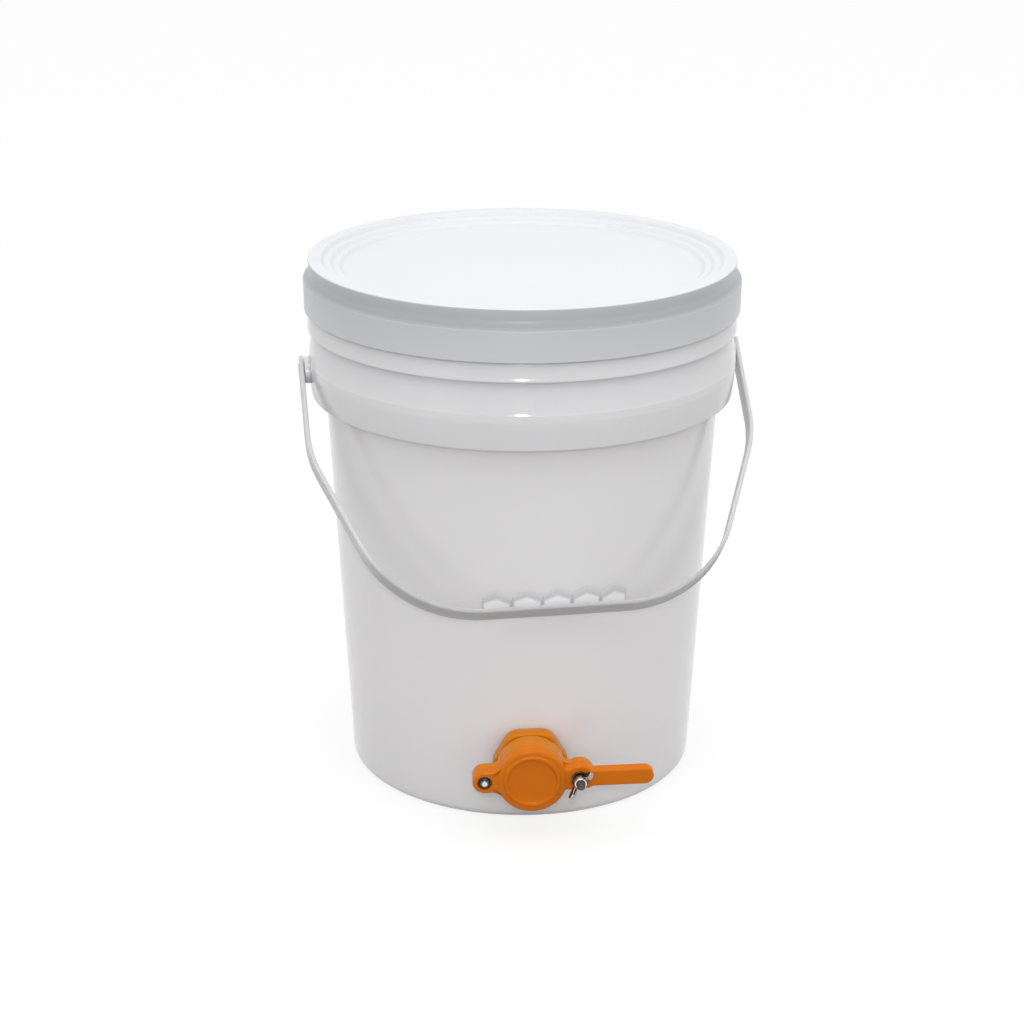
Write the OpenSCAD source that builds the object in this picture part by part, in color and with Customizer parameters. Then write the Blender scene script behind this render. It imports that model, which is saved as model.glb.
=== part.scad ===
// Honey bucket with a swing gate: a moulded pail, a press-on lid, a strap bail and a bolted honey gate.
// Millimetres. The origin is on the pail's axis at the floor, +Z is up and the gate faces -Y.

/* [Pail] */
// Outer radius of the wall at the floor
wall_foot_r = 126.4; // [110:0.1:145]
// Lean of the wall from the vertical, in degrees
wall_lean = 2.93; // [0.5:0.01:4.5]
// Thickness of the wall
wall_t = 2.2; // [1.6:0.1:3.5]
// Thickness of the bottom
bottom_t = 3; // [2:0.1:6]
// Radius of the outer bottom edge
foot_round = 6; // [3:0.5:12]
// Depth of the ring-shaped hollow under the bottom
foot_hollow = 1.5; // [0.5:0.1:3]
// Radius of the flat pad in the middle of the underside
foot_pad_r = 24; // [10:1:60]
// Height of the pail, from the floor to the top of its rim
pail_h = 375; // [300:1:450]
// Thickness of the rim wall above the collar
rim_t = 3.2; // [2.6:0.1:4]
// How far the snap bead stands out from the rim wall
rim_bead = 2; // [0.5:0.1:2.4]
// Height of the snap bead at the top of the rim
rim_bead_h = 9; // [5:0.5:14]

/* [Collar] */
// Drop from the top of the rim to the collar's ledge
collar_drop = 31; // [24:0.5:40]
// Height of the collar, from its ledge to its lower edge
collar_h = 61; // [50:1:80]
// How far the collar stands out from the wall at the ledge
collar_out = 8.8; // [8:0.1:12]
// Thickness of the collar
collar_t = 2.2; // [1.6:0.1:3]
// Height of the plain band at the top of the collar
collar_band_h = 14; // [10:0.5:18]
// Depth of the groove below that band
collar_groove = 3; // [1:0.1:3.6]
// Height of the rolled edge above the collar's lower edge
collar_edge_h = 22; // [16:0.5:26]
// How far the lower edge is drawn in from the rolled edge
collar_tuck = 1.8; // [0.5:0.1:3]
// Number of ribs between the collar and the wall
rib_count = 24; // [8:2:36]
// Thickness of a rib
rib_t = 1.6; // [1:0.1:3]

/* [Lid] */
// How far the lid's skirt stands out past the collar
skirt_out = 2.2; // [1.8:0.1:4]
// Thickness of the lid
lid_t = 2.4; // [1.8:0.1:3]
// Clearance between the lid and the pail
lid_gap = 0.4; // [0.3:0.05:0.8]
// Height of the lid's skirt below its step
skirt_h = 21.6; // [18:0.1:24]
// Rise of each of the three steps from the panel up to the lid's rim
tread_rise = 2.4; // [1.5:0.1:2.8]
// Width of each ring-shaped tread between those steps
tread_w = 4.2; // [3:0.1:8]
// Depth of the plug that goes inside the pail's rim
plug_h = 11.6; // [8:0.1:14]
// Thickness of the sealing ring in the lid
seal_t = 2.6; // [1.5:0.1:4]

/* [Bail] */
// Drop from the collar's ledge to the bail's pivots
hinge_drop = 42; // [34:0.5:46]
// Turn of the pivots about the pail's axis, away from square to the gate, in degrees
ear_turn = 7; // [0:0.5:10]
// Radius of the ear bosses
ear_r = 9.5; // [8:0.5:11]
// Radius of the pivot stud at each end of the strap
stud_r = 4.5; // [3.5:0.1:5.5]
// Radius of the head that keeps a stud in its ear
stud_head_r = 6.5; // [6:0.1:7.5]
// Width of the strap
strap_w = 14; // [10:0.5:18]
// Thickness of the strap
strap_t = 3; // [2.4:0.1:4]
// Width of the lip along each edge of the strap
strap_lip_w = 2.6; // [1.5:0.1:4]
// Depth of the channel between the lips
strap_channel = 0.8; // [0.3:0.1:1.2]
// Length of strap above the pivot
strap_end = 8; // [6.5:0.5:10]
// Length of the straight grip
grip_len = 98; // [80:1:120]
// Inner radius of the bend where the legs turn in above the lid's step
knee_r = 30; // [20:1:60]
// Angle of that bend, in degrees
knee_angle = 22; // [18:1:26]
// Angle of the hanging bail below the horizontal, in degrees
bail_drop = 44; // [40:0.5:48]
// Clearance of the bail's legs from the lid's skirt
leg_gap = 2; // [0.4:0.1:4]
// Clearance of the bail from its ears and the wall
bail_gap = 0.5; // [0.4:0.1:2]

/* [Gate body] */
// Height of the gate's axis where it meets the wall
gate_z = 48; // [42:0.5:80]
// Turn of the gate about its own axis, as its lock nut left it, in degrees
gate_turn = 1.7; // [-10:0.1:10]
// Radius of the outlet bore
bore_r = 16; // [12:0.5:17]
// Radius of the threaded spigot that goes through the wall
spigot_r = 20; // [19:0.5:21]
// Width across the flats of the six-sided flange
flange_af = 49; // [45:0.5:52]
// Thickness of the six-sided flange
flange_t = 7.5; // [5:0.5:10]
// Length of the round neck between the flange and the seat
neck_len = 1.5; // [1:0.1:4]
// Radius of the round seat that the blade covers
seat_r = 24.4; // [23:0.1:26]
// Thickness of the seat
seat_t = 14; // [13:0.1:18]
// Thickness of the two ears beside the seat
gate_ear_t = 7; // [5:0.5:7]
// Distance from the seat's edge out to the pivot bolt
pivot_x = 8.6; // [7.6:0.1:13.6]
// Distance from the seat's edge out to the clamp bolt
clamp_x = 8.6; // [7.6:0.1:13.6]
// Radius of the ear around the pivot bolt
pivot_ear_r = 8.5; // [7:0.5:9]
// Radius of the ear around the clamp bolt
clamp_ear_r = 10.5; // [9:0.5:11]

/* [Gate seals and lock nut] */
// Thickness of the outer gasket at the gate's axis
gasket_t = 1.5; // [1:0.1:3]
// Radius of the gaskets
gasket_r = 22; // [21:0.1:22.4]
// Width across the flats of the lock nut
lock_af = 48; // [46:0.5:54]
// Clearance between the lock nut's corners and the wall
lock_gap = 0.6; // [0.4:0.1:3]
// Thickness of the lock nut
lock_t = 9; // [6:0.5:14]
// Length of spigot past the lock nut
spigot_end = 2.5; // [1:0.5:8]
// Width of the seal ring in the seat
seal_ring_w = 2.4; // [1.6:0.1:2.6]
// Depth of the seal ring's groove
seal_ring_h = 2; // [1:0.1:3]

/* [Gate blade] */
// Thickness of the blade's lugs and handle
blade_t = 7; // [5:0.5:10]
// How far the round part stands out past the lugs
blade_crown = 0.8; // [0.4:0.1:1.2]
// How far the raised ring stands out past the round part
ring_rise = 1; // [0.5:0.1:1.4]
// Outer radius of the raised ring
ring_r = 19.8; // [15:0.1:20.4]
// Width of the raised ring
ring_w = 3.2; // [1.5:0.1:4]
// Distance from the gate's axis to the end of the handle
handle_end = 84.5; // [70:0.5:120]
// Height of the handle
handle_h = 13; // [9:0.5:15]
// Running clearance between the blade and what it slides on
blade_gap = 0.1; // [0.05:0.05:0.3]

/* [Gate bolts] */
// Radius of the pivot bolt
pivot_bolt_r = 2.5; // [2:0.1:3]
// Radius of the pivot bolt's domed head
pivot_head_r = 4.1; // [3.6:0.1:4.5]
// Height of the pivot bolt's domed head
pivot_head_h = 2.8; // [2:0.1:3.5]
// Depth of the recess in the blade that the pivot bolt's head sits in
head_sink = 2.4; // [0.5:0.1:3]
// Width across the flats of the pivot nut
pivot_nut_af = 8; // [7:0.5:10]
// Thickness of the pivot nut
pivot_nut_t = 4; // [3:0.5:4.5]
// Radius of the clamp bolt
clamp_bolt_r = 3; // [2.5:0.1:3.2]
// Width across the flats of the clamp bolt's head
clamp_head_af = 10; // [9:0.5:11]
// Thickness of the clamp bolt's head
clamp_head_t = 4; // [3:0.5:4.5]
// Radius of the clamp washers
clamp_washer_r = 6.2; // [5:0.1:6.5]
// Thickness of a washer
washer_t = 1.2; // [0.8:0.1:1.6]
// Height of the wing nut's hub
wing_hub_h = 6; // [5:0.5:8]
// Radius of the wing nut's hub
wing_hub_r = 5; // [4.5:0.1:5.6]
// Distance from the nut's axis to the tip of a wing
wing_reach = 12.8; // [11:0.1:16]
// Thickness of a wing
wing_t = 3.4; // [2:0.1:4]
// Radius of a wing's round tip
wing_tip_r = 2.8; // [2:0.1:3.4]
// Height of a wing's tip above the hub
wing_lift = 2.4; // [0:0.1:5]
// Angle of the wings from the line through both bolts, in degrees
wing_angle = 52; // [0:1:180]
// How far the wing nut can be backed off along its bolt
wing_travel = 3; // [1:0.5:4]

/* [Hidden] */
$fn = 96;

// Colours
pail_white = "#E9E8E5";
lid_white = "#EEF0F1";
strap_white = "#DCDCDA";
gate_orange = "#E28A12";
rubber_grey = "#6E6C68";
steel = "#B9BBBD";

// Small clearances and rounds
sink = 0.8;
fit_gap = 0.1;
thread_gap = 0.05;
seat_skin = 0.05;
hole_gap = 0.5;
six_round = 2.2;
slot_gap = 0.4;
recess_gap = 0.5;
slot_arc = 20;
washer_rim = 0.6;
bolt_end = 1.5;
edge = 1.2;
over = 1;

// Wall radii at a height
function wall_r(z) = wall_foot_r + z * tan(wall_lean);
function wall_in(z) = wall_r(z) - wall_t / cos(wall_lean);

// Points of an arc about a centre, from one angle to another
function arc(c, r, from, to, steps) =
    [for (i = [0 : steps]) let (a = from + (to - from) * i / steps) c + r * [cos(a), sin(a)]];

// Heights and radii of the rim, the collar and the lid
ledge_z = pail_h - collar_drop;
collar_foot_z = ledge_z - collar_h;
collar_r = wall_r(ledge_z) + collar_out;
collar_in = collar_r - collar_groove - collar_t;
cavity_top = ledge_z - collar_t;
rim_r = wall_in(pail_h) + rim_t;
bead_r = rim_r + rim_bead;
skirt_r = collar_r + skirt_out;
skirt_in = skirt_r - skirt_out;
skirt_foot_z = ledge_z + lid_gap;
step_z = skirt_foot_z + skirt_h;
channel_top = pail_h + seal_t;
lid_top = channel_top + lid_t;
neck_in = bead_r + lid_gap;
neck_r = neck_in + lid_t;
plug_foot_z = channel_top - plug_h;
plug_r = wall_in(plug_foot_z) - lid_gap;
plug_in = plug_r - lid_t;
panel_z = lid_top - edge / 2 - 3 * tread_rise;
seal_in = wall_in(pail_h) + lid_gap;

// Bail: the length follows from the grip hanging just clear of the wall
hinge_z = ledge_z - hinge_drop;
leg_in = skirt_r + leg_gap;
leg_straight = step_z - hinge_z;
hang_reach = wall_r(hinge_z) + bail_gap
    + strap_w / 2 * (sin(bail_drop) - tan(wall_lean) * cos(bail_drop));
grip_v = hang_reach / (cos(bail_drop) + tan(wall_lean) * sin(bail_drop));
turn_u = leg_in - knee_r * (1 - cos(knee_angle)) - grip_len / 2;
turn_v = grip_v - leg_straight - knee_r * sin(knee_angle);
slant_len = (turn_v * cos(knee_angle) - turn_u * (1 - sin(knee_angle))) / (1 - sin(knee_angle));
corner_r = (turn_u * cos(knee_angle) - turn_v * sin(knee_angle)) / (1 - sin(knee_angle));
knee_c = [leg_in - knee_r, leg_straight];
corner_c = knee_c + slant_len * [-sin(knee_angle), cos(knee_angle)]
    + (knee_r - corner_r) * [cos(knee_angle), sin(knee_angle)];
ear_face = leg_in - bail_gap;
ear_back = collar_in - collar_t / 2;
stud_tip = wall_r(hinge_z + stud_head_r) + lid_gap;

// Gate: distances outwards from the wall along the gate's axis
flange_z = gasket_t;
neck_z = flange_z + flange_t;
seat_z = neck_z + neck_len;
face_z = seat_z + seat_t;
ear_z = face_z - gate_ear_t;
blade_z = face_z + blade_gap;
blade_front = blade_z + blade_t;
crown_z = blade_front + blade_crown;
ring_z = crown_z + ring_rise;
lock_reach = lock_af / 2 + six_round;
wall_bow = wall_in(gate_z) - sqrt(pow(wall_in(gate_z), 2) - pow(lock_reach, 2));
lock_face = -wall_t - wall_bow - lock_gap;
spigot_tip = lock_face - lock_t - spigot_end;
hole_r = spigot_r + hole_gap;
seal_ring_r = (bore_r + seat_r) / 2;
pivot_at = seat_r + pivot_x;
clamp_at = seat_r + clamp_x;
pivot_washer_r = pivot_head_r + washer_rim;
slot_r = clamp_bolt_r + slot_gap;
rear_washer_z = ear_z - washer_t;
recess_z = blade_front - head_sink;
pivot_washer_z = recess_z + blade_gap;
clamp_washer_z = blade_front + blade_gap;
wing_z = clamp_washer_z + washer_t;
clamp_tip = wing_z + wing_hub_h + wing_travel + bolt_end;
wing_tip_z = wing_hub_h + wing_lift;

// Puts a shape on the gate's axis: X to the right, Y up and Z outwards from the wall
module at_gate() {
    translate([0, -wall_r(gate_z), gate_z])
        rotate([90 + wall_lean, 0, 0])
            rotate([0, 0, gate_turn])
                children();
}

// Puts a shape in the bail's plane: X along the pivots, Y towards the grip
module at_bail() {
    translate([0, 0, hinge_z])
        rotate([180 + bail_drop, 0, ear_turn])
            children();
}

// Ring with a straight hole
module ring(inner, outer, h) {
    difference() {
        cylinder(r = outer, h = h);
        translate([0, 0, -over])
            cylinder(r = inner, h = h + 2 * over);
    }
}

// Six-sided prism, given its width across the flats, with its corners turned round
module six_sided(af, h) {
    intersection() {
        cylinder(r = af / 2 / cos(30), h = h, $fn = 6);
        cylinder(r = af / 2 + six_round, h = h);
    }
}

// Solid cone that follows the wall, grown or shrunk by a distance
module wall_cone(grow) {
    cylinder(r1 = wall_r(0) + grow, r2 = wall_r(pail_h) + grow, h = pail_h, $fn = 720);
}

// Half of the pail's section, turned about the axis
function pail_outside() = let (
        round_c = [wall_r(foot_round) - foot_round / cos(wall_lean), foot_round],
        hollow_r = round_c[0] - foot_round / 2,
        edge_z = collar_foot_z + collar_edge_h,
        band_z = ledge_z - collar_band_h
    ) concat(
        [[0, 0], [foot_pad_r, 0], [foot_pad_r + foot_hollow, foot_hollow]],
        [[hollow_r - foot_hollow, foot_hollow], [hollow_r, 0]],
        arc(round_c, foot_round, -90, -wall_lean, 6),
        [[wall_r(cavity_top), cavity_top], [collar_in, cavity_top], [collar_in, collar_foot_z]],
        [[collar_r - collar_tuck - edge / 2, collar_foot_z], [collar_r - collar_tuck, collar_foot_z + edge]],
        [[collar_r - edge / 2, edge_z - 3 * edge]],
        arc([collar_r - edge, edge_z], edge, -30, 75, 4),
        [[collar_r - collar_groove + edge / 3, band_z - 3 * edge]],
        [[collar_r - collar_groove, band_z - edge], [collar_r - collar_groove, band_z]],
        arc([collar_r - edge, band_z + edge], edge, -80, 0, 4),
        arc([collar_r - edge, ledge_z - edge], edge, 0, 90, 4)
    );

function pail_rim() = concat(
        [[rim_r, ledge_z], [rim_r, pail_h - rim_bead_h - rim_bead], [bead_r, pail_h - rim_bead_h]],
        arc([bead_r - edge, pail_h - edge], edge, 0, 90, 4),
        arc([wall_in(pail_h) + edge, pail_h - edge], edge, 90, 180, 4)
    );

function pail_inside() = let (
        floor_z = foot_hollow + bottom_t,
        round_c = [wall_in(floor_z + foot_round) - foot_round, floor_z + foot_round]
    ) concat(
        arc(round_c, foot_round, 0, -90, 6),
        [[0, floor_z]]
    );

// One rib between the wall and the collar
module collar_rib() {
    foot_z = collar_foot_z + collar_h / 4;
    rotate([90, 0, 0])
        translate([0, 0, -rib_t / 2])
            linear_extrude(height = rib_t)
                polygon([
                    [wall_r(foot_z) - sink, foot_z],
                    [collar_in + sink, foot_z],
                    [collar_in + sink, cavity_top + sink],
                    [wall_r(cavity_top) - sink, cavity_top + sink]
                ]);
}

module pail_body() {
    rib_step = 360 / rib_count;
    color(pail_white)
        difference() {
            union() {
                rotate_extrude($fn = 180)
                    polygon(concat(pail_outside(), pail_rim(), pail_inside()));
                for (i = [0 : rib_count - 1])
                    rotate([0, 0, ear_turn + (i + 0.5) * rib_step])
                        collar_rib();
                for (side = [0, 180])
                    translate([0, 0, hinge_z])
                        rotate([0, 90, ear_turn + side])
                            translate([0, 0, ear_back])
                                cylinder(r = ear_r, h = ear_face - ear_back);
            }
            translate([0, 0, hinge_z])
                rotate([0, 90, ear_turn])
                    translate([0, 0, -ear_face - over])
                        cylinder(r = stud_r + fit_gap, h = 2 * (ear_face + over));
            at_gate()
                translate([0, 0, -4 * wall_t])
                    cylinder(r = hole_r, h = 8 * wall_t);
        }
}

module lid() {
    tread_r1 = plug_r - tread_rise;
    tread_r2 = tread_r1 - tread_w - tread_rise;
    panel_r = tread_r2 - tread_w;
    low_z = panel_z + tread_rise;
    high_z = low_z + tread_rise;
    color(lid_white)
        rotate_extrude($fn = 180)
            polygon(concat(
                [[0, panel_z], [panel_r - tread_rise, panel_z]],
                [[panel_r, low_z], [tread_r2, low_z]],
                [[tread_r2 + tread_rise, high_z], [tread_r1, high_z]],
                [[plug_r, lid_top - edge / 2], [plug_r + edge, lid_top]],
                arc([neck_r - 2 * edge, lid_top - 2 * edge], 2 * edge, 90, 0, 5),
                [[neck_r, step_z + edge]],
                arc([skirt_r - 1.5 * edge, step_z - 1.5 * edge], 1.5 * edge, 75, 5, 4),
                [[skirt_r, skirt_foot_z + edge], [skirt_r - edge / 3, skirt_foot_z]],
                [[skirt_in, skirt_foot_z], [skirt_in, step_z - lid_t]],
                [[neck_in, step_z], [neck_in, channel_top]],
                [[plug_r, channel_top], [plug_r, plug_foot_z + edge / 2]],
                [[plug_r - edge / 2, plug_foot_z], [plug_in, plug_foot_z]],
                [[plug_in, high_z - lid_t], [tread_r2 + tread_rise, high_z - lid_t]],
                [[tread_r2, low_z - lid_t], [panel_r, low_z - lid_t]],
                [[panel_r - tread_rise, panel_z - lid_t], [0, panel_z - lid_t]]
            ));
}

module lid_seal() {
    color(rubber_grey)
        translate([0, 0, pail_h])
            ring(seal_in, bead_r, seal_t, $fn = 180);
}

// Right half of a line that follows the strap, a distance out from the strap's inner face
function strap_line(out) = concat(
        [[leg_in + out, -strap_end]],
        arc(knee_c, knee_r + out, 0, knee_angle, 6),
        arc(corner_c, corner_r + out, knee_angle, 90, 14)
    );

// The same line from one end of the strap to the other
function strap_path(out) = let (half = strap_line(out), last = len(half) - 1)
    concat(half, [for (i = [last : -1 : 0]) [-half[i][0], half[i][1]]]);

// Band of strap between two distances out from its inner face
module strap_band(from, to, width) {
    back = strap_path(from);
    translate([0, 0, -width / 2])
        linear_extrude(height = width)
            polygon(concat(strap_path(to), [for (i = [len(back) - 1 : -1 : 0]) back[i]]));
}

// Stud with the head that keeps it in its ear
module strap_stud() {
    translate([stud_tip, 0, 0])
        rotate([0, 90, 0]) {
            cylinder(r = stud_r, h = leg_in - stud_tip + sink);
            cylinder(r = stud_head_r, h = ear_back - stud_tip - lid_gap);
        }
}

module bail_strap() {
    color(strap_white)
        at_bail() {
            difference() {
                strap_band(0, strap_t, strap_w);
                strap_band(strap_t - strap_channel, strap_t + over, strap_w - 2 * strap_lip_w);
            }
            strap_stud();
            mirror([1, 0, 0])
                strap_stud();
        }
}

// Round lug joined to the seat by a straight bar
module lug(x, r, bar, h) {
    translate([x, 0, 0])
        cylinder(r = r, h = h);
    translate([min(x, 0), -bar, 0])
        cube([abs(x), 2 * bar, h]);
}

module gate_body() {
    color(gate_orange)
        at_gate()
            difference() {
                union() {
                    translate([0, 0, spigot_tip])
                        cylinder(r = spigot_r, h = seat_z - spigot_tip + sink);
                    translate([0, 0, flange_z])
                        six_sided(flange_af, flange_t);
                    translate([0, 0, seat_z])
                        cylinder(r = seat_r, h = seat_t);
                    translate([0, 0, ear_z]) {
                        lug(-pivot_at, pivot_ear_r, pivot_ear_r, gate_ear_t);
                        lug(clamp_at, clamp_ear_r, pivot_ear_r, gate_ear_t);
                    }
                }
                translate([0, 0, spigot_tip - over])
                    cylinder(r = bore_r, h = face_z - spigot_tip + 2 * over);
                translate([0, 0, face_z - seal_ring_h])
                    ring(seal_ring_r - seal_ring_w / 2, seal_ring_r + seal_ring_w / 2, seal_ring_h + over);
                translate([-pivot_at, 0, ear_z - over])
                    cylinder(r = pivot_bolt_r + fit_gap, h = gate_ear_t + 2 * over);
                translate([clamp_at, 0, ear_z - over])
                    cylinder(r = clamp_bolt_r + fit_gap, h = gate_ear_t + 2 * over);
            }
}

module gate_outer_gasket() {
    color(rubber_grey)
        difference() {
            at_gate()
                translate([0, 0, -wall_bow - wall_t])
                    ring(hole_r, gasket_r, wall_bow + wall_t + gasket_t);
            wall_cone(seat_skin);
        }
}

module gate_inner_gasket() {
    color(rubber_grey)
        intersection() {
            at_gate()
                translate([0, 0, lock_face])
                    ring(hole_r, gasket_r, -lock_face);
            wall_cone(-wall_t / cos(wall_lean) - seat_skin);
        }
}

module gate_lock_nut() {
    color(gate_orange)
        at_gate()
            translate([0, 0, lock_face - lock_t])
                difference() {
                    six_sided(lock_af, lock_t);
                    translate([0, 0, -over])
                        cylinder(r = spigot_r + fit_gap, h = lock_t + 2 * over);
                }
}

module gate_seal_ring() {
    color(rubber_grey)
        at_gate()
            translate([0, 0, face_z - seal_ring_h])
                ring(
                    seal_ring_r - seal_ring_w / 2 + fit_gap,
                    seal_ring_r + seal_ring_w / 2 - fit_gap,
                    seal_ring_h
                );
}

// Slot that the clamp bolt leaves as the blade swings up
module clamp_slot() {
    swing_r = pivot_at + clamp_at;
    translate([clamp_at, 0, blade_z - over])
        cylinder(r = slot_r, h = blade_t + 2 * over);
    translate([-pivot_at, 0, blade_z - over])
        rotate([0, 0, -slot_arc])
            rotate_extrude(angle = slot_arc, $fn = 180)
                translate([swing_r - slot_r, 0])
                    square([2 * slot_r, blade_t + 2 * over]);
}

module gate_blade() {
    handle_r = handle_h / 2;
    color(gate_orange)
        at_gate()
            difference() {
                union() {
                    rotate_extrude()
                        polygon(concat(
                            [[0, blade_z], [seat_r, blade_z]],
                            arc([seat_r - 2 * edge, crown_z - 2 * edge], 2 * edge, 0, 90, 5),
                            [[ring_r, crown_z], [ring_r - ring_w / 4, ring_z]],
                            [[ring_r - ring_w * 3 / 4, ring_z], [ring_r - ring_w, crown_z - ring_rise / 2]],
                            [[0, crown_z - ring_rise / 2]]
                        ));
                    translate([0, 0, blade_z]) {
                        lug(-pivot_at, pivot_ear_r, pivot_ear_r, blade_t);
                        lug(clamp_at, clamp_ear_r, pivot_ear_r, blade_t);
                        lug(handle_end - handle_r, handle_r, handle_r, blade_t);
                    }
                }
                translate([-pivot_at, 0, blade_z - over])
                    cylinder(r = pivot_bolt_r + fit_gap, h = blade_t + 2 * over);
                translate([-pivot_at, 0, recess_z])
                    cylinder(r = pivot_washer_r + recess_gap, h = head_sink + over);
                clamp_slot();
            }
}

module pivot_bolt() {
    head_z = pivot_washer_z + washer_t;
    dome_r = (pow(pivot_head_r, 2) + pow(pivot_head_h, 2)) / (2 * pivot_head_h);
    tip_z = rear_washer_z - pivot_nut_t - bolt_end;
    color(steel)
        at_gate()
            translate([-pivot_at, 0, 0]) {
                translate([0, 0, tip_z])
                    cylinder(r = pivot_bolt_r, h = head_z - tip_z + sink);
                intersection() {
                    translate([0, 0, head_z + pivot_head_h - dome_r])
                        sphere(r = dome_r);
                    translate([0, 0, head_z])
                        cylinder(r = pivot_head_r, h = pivot_head_h);
                }
            }
}

module pivot_front_washer() {
    color(steel)
        at_gate()
            translate([-pivot_at, 0, pivot_washer_z])
                ring(pivot_bolt_r + fit_gap, pivot_washer_r, washer_t);
}

module pivot_rear_washer() {
    color(steel)
        at_gate()
            translate([-pivot_at, 0, rear_washer_z])
                ring(pivot_bolt_r + fit_gap, pivot_washer_r, washer_t);
}

module pivot_nut() {
    color(steel)
        at_gate()
            translate([-pivot_at, 0, rear_washer_z - pivot_nut_t])
                difference() {
                    cylinder(r = pivot_nut_af / 2 / cos(30), h = pivot_nut_t, $fn = 6);
                    translate([0, 0, -over])
                        cylinder(r = pivot_bolt_r + thread_gap, h = pivot_nut_t + 2 * over);
                }
}

module clamp_bolt() {
    head_z = rear_washer_z - clamp_head_t;
    color(steel)
        at_gate()
            translate([clamp_at, 0, head_z]) {
                cylinder(r = clamp_head_af / 2 / cos(30), h = clamp_head_t, $fn = 6);
                cylinder(r = clamp_bolt_r, h = clamp_tip - head_z);
            }
}

module clamp_rear_washer() {
    color(steel)
        at_gate()
            translate([clamp_at, 0, rear_washer_z])
                ring(clamp_bolt_r + fit_gap, clamp_washer_r, washer_t);
}

module clamp_washer() {
    color(steel)
        at_gate()
            translate([clamp_at, 0, clamp_washer_z])
                ring(clamp_bolt_r + fit_gap, clamp_washer_r, washer_t);
}

// One wing, standing on the nut's axis
module wing() {
    tip_x = wing_reach - wing_tip_r;
    rotate([90, 0, 0])
        translate([0, 0, -wing_t / 2])
            linear_extrude(height = wing_t) {
                translate([tip_x, wing_tip_z])
                    circle(r = wing_tip_r);
                polygon([
                    [clamp_bolt_r + sink, sink / 2],
                    [wing_hub_r, sink / 2],
                    [tip_x + wing_tip_r * cos(35), wing_tip_z - wing_tip_r * sin(35)],
                    [tip_x - wing_tip_r * cos(50), wing_tip_z + wing_tip_r * sin(50)],
                    [clamp_bolt_r + sink, wing_hub_h - sink / 2]
                ]);
            }
}

module wing_nut() {
    color(steel)
        at_gate()
            translate([clamp_at, 0, wing_z])
                rotate([0, 0, wing_angle])
                    difference() {
                        union() {
                            cylinder(r1 = wing_hub_r, r2 = wing_hub_r - sink, h = wing_hub_h);
                            for (side = [0, 180])
                                rotate([0, 0, side])
                                    wing();
                        }
                        translate([0, 0, -over])
                            cylinder(r = clamp_bolt_r + thread_gap, h = wing_hub_h + 2 * over);
                    }
}

pail_body();
lid();
lid_seal();
bail_strap();
gate_body();
gate_outer_gasket();
gate_inner_gasket();
gate_lock_nut();
gate_seal_ring();
gate_blade();
pivot_bolt();
pivot_front_washer();
pivot_rear_washer();
pivot_nut();
clamp_bolt();
clamp_rear_washer();
clamp_washer();
wing_nut();
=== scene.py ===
# Honey bucket with a swing gate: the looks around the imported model.
# Sizes of the bucket and the camera's place are in millimetres, and become metres as they are used. The lamps
# and the floor are in metres.
import math
import bmesh
import bpy
import numpy as np
from mathutils import Matrix, Vector


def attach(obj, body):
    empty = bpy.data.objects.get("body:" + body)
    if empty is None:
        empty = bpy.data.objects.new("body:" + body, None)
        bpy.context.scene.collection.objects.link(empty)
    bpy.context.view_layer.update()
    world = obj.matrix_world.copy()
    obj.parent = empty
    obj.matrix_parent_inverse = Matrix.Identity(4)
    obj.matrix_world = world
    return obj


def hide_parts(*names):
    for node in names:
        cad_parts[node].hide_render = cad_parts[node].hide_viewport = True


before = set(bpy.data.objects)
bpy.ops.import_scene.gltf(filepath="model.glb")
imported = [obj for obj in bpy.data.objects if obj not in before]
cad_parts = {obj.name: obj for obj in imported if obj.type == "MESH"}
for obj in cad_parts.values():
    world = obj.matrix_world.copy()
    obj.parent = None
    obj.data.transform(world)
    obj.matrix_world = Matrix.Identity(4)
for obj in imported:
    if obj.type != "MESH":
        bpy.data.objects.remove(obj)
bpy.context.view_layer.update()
print("frame loaded:", len(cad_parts), "nodes")


# sRGB hex to linear, by the usual curve on each channel
def toLinear(hexCode):
    c = np.array([int(hexCode[i:i + 2], 16) for i in (1, 3, 5)]) / 255
    c = np.where(c <= 0.04045, c / 12.92, ((c + 0.055) / 1.055) ** 2.4)
    return (*c.tolist(), 1.0)


# adds a node, gives it its settings, and links or sets its sockets
def addNode(tree, kind, sockets=None, **settings):
    node = tree.nodes.new(kind)
    for key, value in settings.items():
        setattr(node, key, value)
    for key, value in (sockets or {}).items():
        if isinstance(value, bpy.types.NodeSocket):
            tree.links.new(value, node.inputs[key])
        else:
            node.inputs[key].default_value = value
    return node


# a new object in the scene around a camera, a lamp or a mesh
def addObject(name, data):
    made = bpy.data.objects.new(name, data)
    bpy.context.scene.collection.objects.link(made)
    return made


# texture scale, on Object coordinates in metres, for a pattern of so many millimetres
def perMm(size):
    return 1000 / size


# Photograph's camera: lens from the fitted focal length of 2222 pixels on a 1024 pixel frame
camera = dict(
    lens=78.13, sensor=36, clipEnd=60,
    place=(-80.46, -1535.3, 749.6), pitch=20.143, yaw=-0.257, roll=0.146, side=-3.0,
)
camData = bpy.data.cameras.new("photoCamera")
camData.sensor_width = camera["sensor"]
camData.lens = camera["lens"]
camData.clip_end = camera["clipEnd"]
camObj = addObject("photoCamera", camData)
camObj.matrix_world = (
    Matrix.Translation(Vector(camera["place"]) / 1000)
    @ Matrix.Rotation(math.radians(camera["side"] - camera["yaw"]), 4, "Z")
    @ Matrix.Rotation(math.radians(90 - camera["pitch"]), 4, "X")
    @ Matrix.Rotation(math.radians(camera["roll"]), 4, "Z")
)
bpy.context.scene.camera = camObj

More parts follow.
